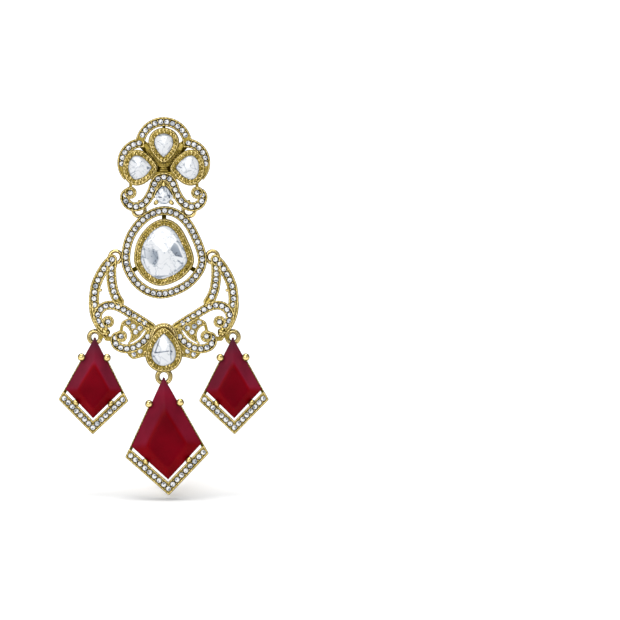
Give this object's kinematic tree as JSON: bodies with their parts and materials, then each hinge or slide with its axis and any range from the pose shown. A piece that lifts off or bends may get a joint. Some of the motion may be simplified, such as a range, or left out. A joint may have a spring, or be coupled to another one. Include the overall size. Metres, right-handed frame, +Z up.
{
  "type": "chandbali earring",
  "caption": "Long stud earring: jewelled flower and scroll, haloed flat-cut stone, pierced crescent and three kite-shaped red stone drops that swing on rings.",
  "frame": {"origin": "middle of the post pad's back face, where the pad rests on the front of the ear lobe", "axes": "+Z up, +Y back through the ear lobe along the post, jewelled face towards -Y, +X to the right as seen from the front"},
  "size_m": [0.0487, 0.0146, 0.0877],
  "materials": {
    "gold": "antiqued yellow gold, polished rims and dark recesses",
    "diamond": "clear white cut stones",
    "polki": "flat uncut diamonds over foil",
    "ruby": "satin opaque deep red"
  },
  "bodies": {
    "top": {"top_frame": "gold", "ear_post": "gold", "border_pave": "diamond", "scroll_pave": "diamond", "polki_upper": "polki", "polki_left": "polki", "polki_right": "polki", "arch_stone": "polki"},
    "middle": {"halo_frame": "gold", "halo_pave": "diamond", "polki_large": "polki"},
    "crescent": {"crescent_frame": "gold", "crescent_pave_left": "diamond", "crescent_pave_right": "diamond", "crescent_stone": "polki"},
    "drop_left": {"drop_frame_left": "gold", "drop_pave_left": "diamond", "ruby_left": "ruby"},
    "drop_centre": {"drop_frame_centre": "gold", "drop_pave_centre": "diamond", "ruby_centre": "ruby"},
    "drop_right": {"drop_frame_right": "gold", "drop_pave_right": "diamond", "ruby_right": "ruby"}
  },
  "joints": [
    {"name": "middle_swing", "type": "hinge", "parent": "top", "child": "middle", "pos_m": [0, 0.00032, -0.01083], "axis": [1, 0, 0], "range_deg": [-12, 60]},
    {"name": "crescent_swing", "type": "hinge", "parent": "middle", "child": "crescent", "pos_m": [0, 0.00032, -0.02437], "axis": [1, 0, 0], "range_deg": [-12, 60]},
    {"name": "drop_left_swing", "type": "hinge", "parent": "crescent", "child": "drop_left", "pos_m": [-0.01603, -0.0012, -0.04295], "axis": [1, 0, 0], "range_deg": [-15, 60]},
    {"name": "drop_centre_swing", "type": "hinge", "parent": "crescent", "child": "drop_centre", "pos_m": [0, -0.0012, -0.0523], "axis": [1, 0, 0], "range_deg": [-15, 60]},
    {"name": "drop_right_swing", "type": "hinge", "parent": "crescent", "child": "drop_right", "pos_m": [0.01603, -0.0012, -0.04295], "axis": [1, 0, 0], "range_deg": [-15, 60]}
  ]
}
